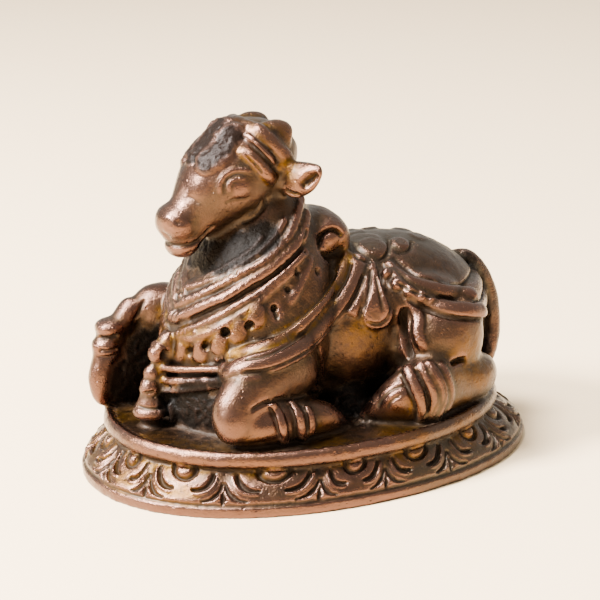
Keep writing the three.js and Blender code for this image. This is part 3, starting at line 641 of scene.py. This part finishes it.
# The saddle: the groove under the smooth back, the gaps between its rolls and leaves, the black groove in front
# of the thigh and the slit over the hock.
work(carried([(393, 257), (402.7, 265.6), (414.8, 274), (427, 279), (445, 283.2), (463, 284.6)],
             [(24.6, -9, 27), (26.8, -6.6, 27), (28.8, -3.6, 26.8), (29.2, 0, 26.8)]), 0.5, -0.45, "soft", 1)
work(carried([(394.2, 280), (407.6, 288.6), (422, 293.8), (439, 297.4), (457.3, 300.6), (472, 301.6)],
             [(23.2, -14.8, 25), (27, -10.8, 24.2), (29.6, -5.3, 23.5), (30.4, 0, 23.3)]),
     0.45, -0.45, "soft", 1)
work(carried([(407.6, 300), (422, 307.5), (439, 314.5), (457.3, 318.2), (472, 319)],
             [(22.6, -16.8, 22.7), (27, -11.8, 21.2), (30, -5.8, 20.2), (30.8, 0, 19.8)]),
     0.55, -0.45, "soft", 1)
work(traced([(354.8, 253.5), (359, 258.5), (370, 261.6), (383.3, 258.8), (388.6, 251), (388.8, 240)]),
     0.5, -0.45, "soft", 0.8)
work(traced([(394.2, 252), (402.7, 253), (410.6, 249), (411.8, 241)]), 0.45, -0.4, "soft", 0.6)
work(traced([(378, 272), (384, 290), (390.5, 307), (388, 319), (378, 325), (366, 322)]), 0.5, -0.4, "soft", 0.8)
work(traced([(371, 268), (369, 290), (364, 309)]), 0.4, -0.45, "soft", 0.8)
work(traced([(376, 275), (380, 295), (383, 312)]), 0.5, -0.25, "soft", 0.8)
work(traced([(405.2, 308), (402.7, 321.4), (404, 336), (408, 349.2), (412.4, 358)]), 0.9, -1.5, "soft", 1.2)
work(traced([(451, 363.5), (458, 360.6), (466, 359.3)]), 0.55, -1.1, "soft", 0.5)
work(traced([(377, 408), (383, 397.4), (394, 388.5), (407, 385)]), 0.45, -0.3, "soft", 1)
work(traced([(387, 409), (391, 401), (402, 394)]), 0.4, -0.25, "soft", 1)
work(traced([(333, 409), (339, 400), (348, 396.5), (358, 398)]), 0.5, -0.4, "soft", 1)

# The legs: the cuts beside the bands on the feet, the edge behind the folded arm, the crease behind its knee,
# the crease of the raised arm and the rings of its anklets. The bell has a cut over its rim and one under its
# cap.
for pixels in [((269, 407), (275, 420), (279.5, 440)), ((287.5, 404), (293.5, 416), (295.8, 437)),
               ((301, 404), (306.7, 417), (307.8, 433))]:
    work(traced(pixels), 0.42, -0.5, "soft", 0.6, paired=False)
for pixels, depth in [(((401, 375), (409, 391), (415, 407), (415, 419)), 0.5),
                      (((415, 370), (424.5, 389), (428, 404), (425, 418)), 0.5),
                      (((425.5, 368), (435.5, 386), (438, 401), (431.5, 417)), 0.15),
                      (((434.5, 366), (443.8, 383), (446, 399), (438, 415)), 0.15)]:
    work(traced(pixels), 0.38, -depth, "soft", 0.6)
work(traced([(317.5, 345), (319.3, 360), (320.5, 376), (320.5, 390)]), 0.6, -0.8, "soft", 1)
work(traced([(134, 403.5), (142, 407.5), (152, 409), (164, 407.5)]), 0.4, -0.35, "soft", 0.5, paired=False)
work(traced([(139, 390.5), (146, 392.5), (155, 391.5)]), 0.4, -0.4, "soft", 0.5, paired=False)
work(traced([(251, 411.5), (262, 405), (273, 401), (296, 397.5), (318, 394.5)]), 0.5, -0.6, "soft", 1)
work(traced([(145, 299), (141, 307), (138, 315), (133, 323)]), 0.4, -0.35, "soft", 0.8, paired=False)
work(traced([(99, 337), (108, 338.5), (119, 335.5)]), 0.5, -0.6, "soft", 0.5, paired=False)
work(traced([(98, 350), (108, 351.5), (118, 349)]), 0.45, -0.5, "soft", 0.5, paired=False)
work(traced([(98, 356), (107, 357.5), (116, 355)]), 0.35, -0.3, "soft", 0.5, paired=False)
work(traced([(171, 402), (173.5, 413), (174, 423)]), 0.6, 0.9, "round", 0.5, paired=False)

# The plinth's wall: a band of seventeen lotus petals, each a broad lobe with a boss under the rim and two
# hooked cuts, and a corded line inside the rim. Each petal is drawn flat: across from its middle, and up.
# The six petals in view are spaced as the photograph shows them, and the other eleven fill the rest evenly. Cut
# by hand, they lean a little: the drift is how far a petal's top stands aside, as a share of the way round.
seen_edges = [0.5097, 0.5569, 0.6176, 0.6882, 0.7425, 0.8036, 0.8703]
unseen_petals = 11
unseen_edges = np.linspace(seen_edges[-1], 1 + seen_edges[0], unseen_petals + 1)
petal_edges = np.concatenate([seen_edges, unseen_edges[1:]])
petal_drift = np.array([(0.51, -0.012), (0.587, -0.012), (0.653, 0),
                        (0.715, 0.0086), (0.773, 0.012), (0.837, 0.02),
                        (0.9, 0.01), (1.1, 0), (1.4, 0), (1.51, -0.012)])
wall_height = 5.4
mid_lean = 0.5
ring_turns = np.linspace(0, 1, 2001)
ring_line = np.stack([(plinth_length / 2 - mid_lean * end_lean) * oval(np.cos(2 * math.pi * ring_turns)),
                      (plinth_width / 2 - mid_lean * flank_lean) * oval(np.sin(2 * math.pi * ring_turns))], -1)
ring_lengths = np.concatenate([[0], np.cumsum(np.linalg.norm(np.diff(ring_line, axis=0), axis=1))])
petal_pitch = ring_lengths[-1] / (len(petal_edges) - 1)
wall_lean = np.clip((bare[:, 2] - lip_height) / (band_top - lip_height), 0, 1)
wall_x = (bare[:, 0] - rim_shift * wall_lean) / (plinth_length / 2 - wall_lean * end_lean)
wall_y = bare[:, 1] / (plinth_width / 2 - wall_lean * flank_lean)
outness = (np.abs(wall_x) ** oval_power + np.abs(wall_y) ** oval_power) ** (1 / oval_power)
on_wall = np.flatnonzero((outness > 0.955) & (outness < 1.03) & (bare[:, 2] > lip_height - 0.6)
                         & (bare[:, 2] < band_top + 0.4))
wall_turns = np.arctan2(np.sign(wall_y) * np.abs(wall_y) ** (oval_power / 2),
                        np.sign(wall_x) * np.abs(wall_x) ** (oval_power / 2))[on_wall] / (2 * math.pi) % 1
arc_share = np.interp(wall_turns, ring_turns, ring_lengths / ring_lengths[-1])
upward = (bare[on_wall, 2] - lip_height) / (band_top - lip_height) * wall_height
arc_share = np.where(arc_share < petal_edges[0], arc_share + 1, arc_share)
arc_share = arc_share - np.interp(arc_share, *petal_drift.T) * upward / wall_height
arc_share = np.where(arc_share < petal_edges[0], arc_share + 1, arc_share)
arc_share = np.where(arc_share >= petal_edges[-1], arc_share - 1, arc_share)
petal_number = np.clip(np.searchsorted(petal_edges, arc_share, side="right") - 1, 0, len(petal_edges) - 2)
petal_share = (arc_share - petal_edges[petal_number]) / np.diff(petal_edges)[petal_number]
across = (petal_share - 0.5) * petal_pitch
flat_petal = np.stack([np.abs(across), upward, np.zeros(len(across))], -1)


def petal_line(stops, half_width, height):
    """A ridge or cut on both halves of every petal. Its width runs out at both ends."""
    line = smooth_line([(*stop, 0) for stop in stops], np.linspace(0, 1, 24))
    apart, share, _, _ = from_line(flat_petal, line)
    wide = half_width * (0.45 + 0.55 * np.sin(math.pi * share))
    lift[on_wall] += height * profile(np.clip(apart / wide, 0, 1), "soft")


dome = (np.clip(1 - (across / (0.5 * petal_pitch)) ** 2, 0, 1)
        * np.clip(np.sin(math.pi * upward / wall_height), 0, 1))
lift[on_wall] += 0.35 * dome ** 0.7 - 0.1
petal_line([(4.2, 4.5), (4.0, 3.6), (3.4, 2.6), (2.5, 2.1), (1.5, 2.0)], 0.5, -0.75)
petal_line([(4.75, 4.2), (4.5, 3.2), (3.8, 2.1), (2.7, 1.5), (1.6, 1.45)], 0.38, 0.3)
petal_line([(5.5, 3.2), (5.2, 2.2), (4.7, 1.5), (3.9, 0.85), (2.8, 0.54)], 0.42, -0.6)
petal_line([(5.6, 2.5), (5.3, 1.3), (4.5, 0.5)], 0.32, 0.3)
petal_line([(5.65, 2.2), (5.65, 1.2), (5.6, 0.2)], 0.4, -0.55)
boss_place = np.hypot(across / 1.15, upward - 4.9)
lift[on_wall] += 0.4 * profile(np.clip(boss_place / 1.3, 0, 1), "flat")
lift[on_wall] -= 0.55 * profile(np.clip(np.abs(boss_place - 1.6) / 0.4, 0, 1), "soft")
lift[on_wall] -= 0.25 * profile(np.clip(np.abs(upward + 0.15) / 0.5, 0, 1), "soft")
rim_turns = np.arctan2(wall_y, wall_x) / (2 * math.pi) % 1
inner_rim = np.abs(outness - 0.983) * plinth_length / 2
on_rim = np.flatnonzero((inner_rim < 0.9) & (bare[:, 2] > plate_height - 0.3)
                        & (bare[:, 2] < plate_height + 0.8))
cord_phase = np.sin(2 * math.pi * rim_turns[on_rim] * 150)
lift[on_rim] += (0.28 * cord_phase - 0.16) * profile(np.clip(inner_rim[on_rim] / 0.75, 0, 1), "soft")
set_points(casting, bare + facing * lift[:, None])


# The casting's skin is slightly uneven all over. What is cut deep or lies shut in has kept its dark patina, so
# how hollow and how shut in each place is goes with the mesh, with the places where ochre lacquer is left,
# those that are polished, those made dull (at the tail end a painted shade and reflection) and those made
# near-black with soot on the hair knot and with painted shade in the shadowed places.
def mesh_edges(form):
    pairs = np.empty(2 * len(form.data.edges), int)
    form.data.edges.foreach_get("vertices", pairs)
    return pairs.reshape(-1, 2)


def averaged(values, pairs, rounds):
    """Each vertex's value blurred over its neighbours a number of times."""
    count = np.bincount(pairs.ravel(), minlength=len(values))
    columns = values.T if values.ndim > 1 else values[None]
    for _ in range(rounds):
        columns = [(column + np.bincount(pairs[:, 0], column[pairs[:, 1]], len(column))
                    + np.bincount(pairs[:, 1], column[pairs[:, 0]], len(column))) / (1 + count)
                   for column in columns]
    return np.stack(columns, -1) if values.ndim > 1 else columns[0]


fine_points = averaged(get_points(casting), mesh_edges(casting), 1)
set_points(casting, fine_points)
fine_facing = get_normals(casting)
pairs = mesh_edges(casting)
near_shape = averaged(fine_points, pairs, 6)
far_shape = averaged(near_shape, pairs, 70)
fine_hollow = ((near_shape - fine_points) * fine_facing).sum(-1)
broad_hollow = ((far_shape - fine_points) * fine_facing).sum(-1)

triangle_limit = 194000
thin = casting.modifiers.new("thin", "DECIMATE")
thin.ratio = triangle_limit / (2 * len(casting.data.polygons))
thin.use_collapse_triangulate = True
bpy.ops.object.modifier_apply(modifier="thin")
bpy.ops.object.shade_smooth()
points = get_points(casting)
fine_tree = KDTree(len(fine_points))
for index, point in enumerate(fine_points):
    fine_tree.insert(point, index)
fine_tree.balance()
nearest = np.array([fine_tree.find(point)[1] for point in points])
uneven = np.array([noise.noise(Vector(point) * 0.45) + 0.5 * noise.noise(Vector(point) * 1.3)
                   for point in points])
points = points + get_normals(casting) * (0.1 * uneven)[:, None]
points[points[:, 2] < 0.15, 2] = 0
points = np.clip(points, low, high)
set_points(casting, points)

facing = get_normals(casting)
cast_tree = BVHTree.FromObject(casting, bpy.context.evaluated_depsgraph_get())
ray_count = 12
golden = math.pi * (3 - math.sqrt(5))
spread_rays = np.array([[math.sqrt(1 - h * h) * math.cos(golden * i),
                         math.sqrt(1 - h * h) * math.sin(golden * i), h]
                        for i, h in enumerate((np.arange(ray_count) + 0.5) / ray_count)])
side = unit(np.cross(facing, np.where(np.abs(facing[:, 2:]) < 0.9, (0, 0, 1), (1, 0, 0))))
top = np.cross(facing, side)
shut = np.zeros(len(points))
ray_reach = 14
origins = [Vector(origin) for origin in (points + facing * 0.15) * MM]
for sx, sy, sz in spread_rays:
    rays = side * sx + top * sy + facing * sz
    for i, ray in enumerate(rays):
        hit = cast_tree.ray_cast(origins[i], Vector(ray), ray_reach * MM)
        if hit[0] is not None:
            shut[i] += 1 - hit[3] / (ray_reach * MM)
shut = averaged(shut / ray_count, mesh_edges(casting), 3)

gold = np.zeros(len(points))
polish = np.zeros(len(points))
soot_and_shade = np.zeros(len(points))
dull_and_shade = np.zeros(len(points))


def mark(share, places, reach, strength=1.0, paired=True):
    """Marks the skin round some places, on both sides of the bull where paired."""
    for side in ([1, -1] if paired else [1]):
        for centre in np.asarray(places) * (1, side, 1):
            apart = np.linalg.norm(points - centre, axis=1)
            np.maximum(share, strength * np.clip(1.3 * (1 - (apart / reach) ** 2), 0, 1), out=share)


mark(gold, harness_gold[::4], 1.9)
mark(gold, upper_lock[::4], 1.9, 0.9)
mark(gold, lower_lock[::4], 1.7, 0.9)
mark(gold, breast_scallops, 2.4, 0.9)
mark(gold, [(1.4, -7, 35.2)], 3.0)
mark(gold, [(-6, -4, 55), (-11, -3, 55)], 4.0, 0.8)
mark(gold, [(-5.5, -9, 47)], 4.0, 0.7)
mark(gold, [(-26.6, -1.5, 18.2), (-25.8, -3.5, 18.6), (-24.6, -5.5, 19), (-23, -7.6, 19.4)], 1.4, paired=False)
mark(gold, [(-26.4, -2, 16.4), (-25.4, -4, 16.8)], 1.2, paired=False)
mark(gold, [(-24.5, -3, 22), (-24, -4, 24), (-22, -7, 24)], 2.6, 0.7)
mark(gold, [(2.3, -14, 21.5)], 5.5, 0.7)
mark(gold, [(20, -19, 17)], 7, 0.75)
mark(gold, [(8, -20, 11)], 4.5, 0.7)
mark(gold, [(-30, -6, 8), (-26, -12, 8), (-20, -18, 8), (-8, -21, 8), (4, -22, 8), (16, -20, 8)], 5.5, 0.85)
mark(gold, [(-35, -5, 5), (-31, -13, 5)], 6, 0.8)
# Near-black soot on the hair knot.
mark(soot_and_shade, [*brow_knot[::4], *knot_middle[::4]], 2.6, 0.8)
# Painted shade, over the walls' own dark patina, under the breast and behind the raised leg.
mark(soot_and_shade, [(-25.5, -2.5, 12.5), (-24.7, -6, 12), (-24.4, -6.6, 14.6), (-22.5, -9.5, 12.5), (-21, -12, 12)],
     3.6, paired=False)
mark(soot_and_shade, [(-22, -10, 18), (-23.4, -7.6, 16.6)], 2.0, 0.9, paired=False)
mark(soot_and_shade, [(-27, 9.5, 13), (-24, 9.5, 17), (-21, 9, 13), (-20, 9, 19)], 5.0, paired=False)
# Painted shade in the gap between the tail and the rump, under the belly and under the jaw.
mark(soot_and_shade, [(30, -4, 18), (30.5, -3, 24), (29.5, -3, 28), (31, -4, 13)], 3.4, 0.7)
mark(soot_and_shade, [(32, -1, 27), (34, -2, 20), (34.4, -2.4, 14)], 3, 0.5, paired=False)
mark(soot_and_shade, [(2, -11, 11), (-3, -12, 12), (6, -12, 12)], 4.2, 0.8)
mark(soot_and_shade, [(-15.6, -6.6, 37), (-12.6, -7.8, 38.6), (-17.4, -4.6, 35.4), (-18.4, -2, 34.8)], 3.8, 0.95)
mark(polish, [(-15, -3, 54), (-18.5, -3, 51.5), (-22, -3, 48), (-25.5, -3, 44), (-28, -2, 40)], 4.5, 0.8)
mark(polish, [(-24, -17, 13), (-18, -20, 13), (-30, 12, 16), (-20, 12, 27)], 5, 0.7, paired=False)
# Painted shade and reflection: the tail end of the plinth, turned from the key lamp, made a dull olive-grey.
mark(dull_and_shade, [(36, 0, 3), (33, -13, 4), (24, -21, 4), (12, -26, 4)], 13, 0.9)
# A duller, greyer tone over the back and rump.
mark(dull_and_shade, [(31, -2, 22), (20, 0, 34), (10, 0, 35), (26, 0, 29)], 10, 0.8)

for name, values in [("fine_hollow", fine_hollow[nearest]), ("broad_hollow", broad_hollow[nearest]),
                     ("shut_in", shut), ("gold_left", gold), ("soot_and_painted_shade", soot_and_shade), ("dulled_and_shaded", dull_and_shade),
                     ("polished", polish)]:
    layer = casting.data.attributes.new(name, "FLOAT", "POINT")
    layer.data.foreach_set("value", values.astype(np.float32))

# Cast bronze, rubbed: high places are polished to a pinkish copper brown, ochre shows where the rubbing went
# through the dark lacquer, and the hollows keep a near-black patina that is no bare metal, so it shines less.
# Soot and painted shade make some places near-black, and painted shade and reflection dull the tail end.
# Clouds of 7 mm and mottling of 1.4 mm vary the colour. Pits 1.3 mm apart and a 0.3 mm grain break the shine.
bronze = bpy.data.materials.new("rubbed_cast_bronze")
bronze.use_nodes = True
tree = bronze.node_tree


def add_node(kind, settings, output=0):
    """Adds a node, gives one output. A setting is a property, a socket's value or an output to link to it."""
    node = tree.nodes.new(kind)
    for name, value in settings.items():
        if isinstance(value, bpy.types.NodeSocket):
            tree.links.new(value, node.inputs[name])
        elif isinstance(name, str) and hasattr(node, name):
            setattr(node, name, value)
        else:
            node.inputs[name].default_value = value
    return node.outputs[output]


coords = add_node("ShaderNodeTexCoord", {}, "Object")
clouds, mottle, grain, flecks, soot_and_shade_grain = [
    add_node("ShaderNodeTexNoise", {"Vector": coords, "Scale": 1 / (size * MM),
                                    "Detail": detail, "Roughness": rough})
    for size, detail, rough in [(7, 4, 0.55), (1.4, 6, 0.65), (0.32, 4, 0.55), (0.7, 5, 0.7), (0.9, 2, 0.55)]]
pit_cells = add_node("ShaderNodeTexVoronoi", {"Vector": coords, "Scale": 1 / (1.3 * MM)})
fine, broad, enclosed, gold_mark, soot_and_shade_mark, dulled_and_shaded, polished = [
    add_node("ShaderNodeAttribute", {"attribute_name": name}, "Fac")
    for name in ("fine_hollow", "broad_hollow", "shut_in", "gold_left", "soot_and_painted_shade", "dulled_and_shaded", "polished")]

# How far each finish reaches: a mark or a hollow with a pattern added to it, and the range where it sets in.
fine = add_node("ShaderNodeMath", {"operation": "MULTIPLY_ADD", 0: flecks, 1: 0.05, 2: fine})
reaches = []
for pattern, share, base, start, end, most in [
        (broad, 0.25, fine, 0.035, -0.095, 1), (broad, 0.2, fine, 0.06, 0.165, 0.88),
        (mottle, 0.35, enclosed, 0.535, 0.835, 1), (mottle, 0.9, soot_and_shade_mark, 0.7, 1.2, 0.94),
        (clouds, 1.6, gold_mark, 0.95, 1.6, 1)]:
    mixed = add_node("ShaderNodeMath", {"operation": "MULTIPLY_ADD", 0: pattern, 1: share, 2: base})
    reaches.append(add_node("ShaderNodeMapRange", {
        "interpolation_type": "SMOOTHSTEP", "Value": mixed,
        "From Min": start, "From Max": end, "To Max": most}))
rubbed, crevice, recess, soot_and_shade_reach, gold_left = reaches
rubbed = add_node("ShaderNodeMath", {"operation": "MAXIMUM", 0: polished, 1: rubbed})
hollow = add_node("ShaderNodeMath", {"operation": "MAXIMUM", 0: crevice, 1: recess})
dark = add_node("ShaderNodeMath", {"operation": "MAXIMUM", 0: hollow, 1: soot_and_shade_reach})

# What changes smoothly with those: from where, to where, and the values at both ends.
(mottled, clouded, gold_broken, bare_share, polish_rough, metal_share, shine, coat_share, pits, bump_share) = [
    add_node("ShaderNodeMapRange", {
        "interpolation_type": "SMOOTHSTEP", "Value": value, "From Min": start, "From Max": end,
        "To Min": first, "To Max": last})
    for value, start, end, first, last in [
        (mottle, 0.35, 0.65, 0, 1), (clouds, 0.35, 0.65, 0, 1), (mottle, 0.3, 0.55, 0, 1),
        (dulled_and_shaded, 0, 1, 0.75, 0.35),
        (rubbed, 0, 1, 0.31, 0.16), (dark, 0, 1, 1, 0.2), (dark, 0, 1, 0.5, 0.05), (dark, 0, 1, 0.16, 0),
        (pit_cells, 0.04, 0.2, 0, 0.5), (polished, 0, 1, 1, 0.4)]]

# The colours are laid one over the other: mottled brown, grey-brown clouds, olive where dull and, at the tail
# end, where painted shade and reflection go, ochre, bare metal, the brown of the hollows and the near-black of
# the soot and of painted shade.
olive_share, gold_share, metal_left = [
    add_node("ShaderNodeMath", {"operation": "MULTIPLY", 0: first, 1: second})
    for first, second in [(dulled_and_shaded, 0.8), (gold_left, gold_broken), (rubbed, bare_share)]]
colour = add_node("ShaderNodeMix", {
    "data_type": "RGBA", 0: mottled, 6: linear("#2A1D14"), 7: linear("#483222")}, 2)
for share, hex_colour in [(clouded, "#3A2C1F"), (olive_share, "#3E372B"), (gold_share, "#503509"),
                          (metal_left, "#69483B"), (hollow, "#231A13"), (soot_and_shade_reach, "#080706")]:
    colour = add_node("ShaderNodeMix", {"data_type": "RGBA", 0: share, 6: colour, 7: linear(hex_colour)}, 2)
roughness, relief = polish_rough, pits
for pattern, share in [(mottle, 0.16), (dark, 0.08)]:
    roughness = add_node("ShaderNodeMath", {"operation": "MULTIPLY_ADD", 0: pattern, 1: share, 2: roughness})
lumps_in_soot_and_shade = add_node("ShaderNodeMath", {"operation": "MULTIPLY", 0: soot_and_shade_reach, 1: soot_and_shade_grain})
for pattern, share in [(grain, 0.5), (mottle, 1.2), (lumps_in_soot_and_shade, 1.2)]:
    relief = add_node("ShaderNodeMath", {"operation": "MULTIPLY_ADD", 0: pattern, 1: share, 2: relief})
normal = add_node("ShaderNodeBump", {"Distance": 0.16 * MM, "Height": relief, "Strength": bump_share})
shader = tree.nodes["Principled BSDF"]
shader.inputs["Coat Roughness"].default_value = 0.3
for socket, source in [("Base Color", colour), ("Metallic", metal_share), ("Specular IOR Level", shine),
                       ("Roughness", roughness), ("Coat Weight", coat_share), ("Normal", normal)]:
    tree.links.new(source, shader.inputs[socket])
casting.data.materials.clear()
casting.data.materials.append(bronze)

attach(casting, "root")
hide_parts("nandi_bull_casting")
